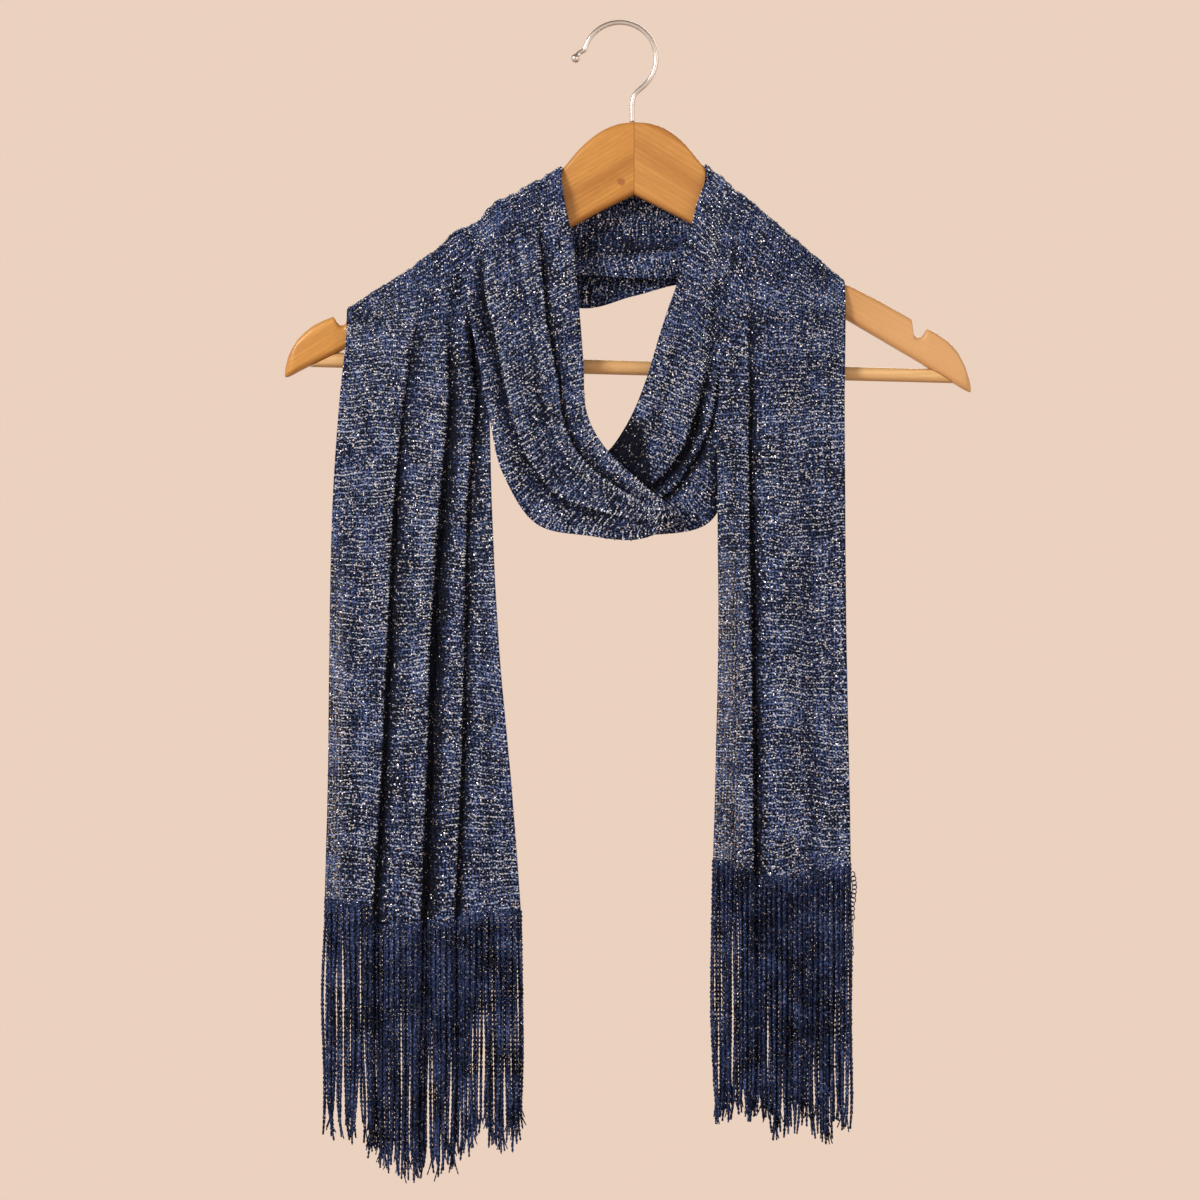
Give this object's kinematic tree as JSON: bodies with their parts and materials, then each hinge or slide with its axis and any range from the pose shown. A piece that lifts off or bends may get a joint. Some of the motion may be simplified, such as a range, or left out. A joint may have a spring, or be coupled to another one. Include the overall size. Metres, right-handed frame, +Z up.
{
  "type": "fringed shawl on a coat hanger",
  "caption": "Long openwork knit shawl with a fringe at each end, wound once round a wooden coat hanger so that a cowl hangs between its two tails.",
  "frame": {"origin": "inner top of the hanger's hook, where it bears on its rod, in the middle plane of the wood", "axes": "+Z up, -Y towards the viewer in front, +X to the viewer's right"},
  "size_m": [0.4445, 0.0543, 0.7543],
  "materials": {
    "knit": "openwork navy warp knit with silver metallic dashes",
    "fringe": "loose navy chains with a silver sparkle",
    "wood": "clear varnished pine",
    "bar_wood": "clear varnished pine dowel",
    "hook_steel": "bright plated steel wire"
  },
  "bodies": {
    "root": {"tail_left": "knit", "tail_right": "knit", "loop_over": "knit", "loop_under": "knit", "band_near": "knit", "band_far": "knit", "fringe_left": "fringe", "fringe_right": "fringe", "wing_left": "wood", "wing_right": "wood", "bar": "bar_wood", "hook": "hook_steel"}
  },
  "joints": []
}
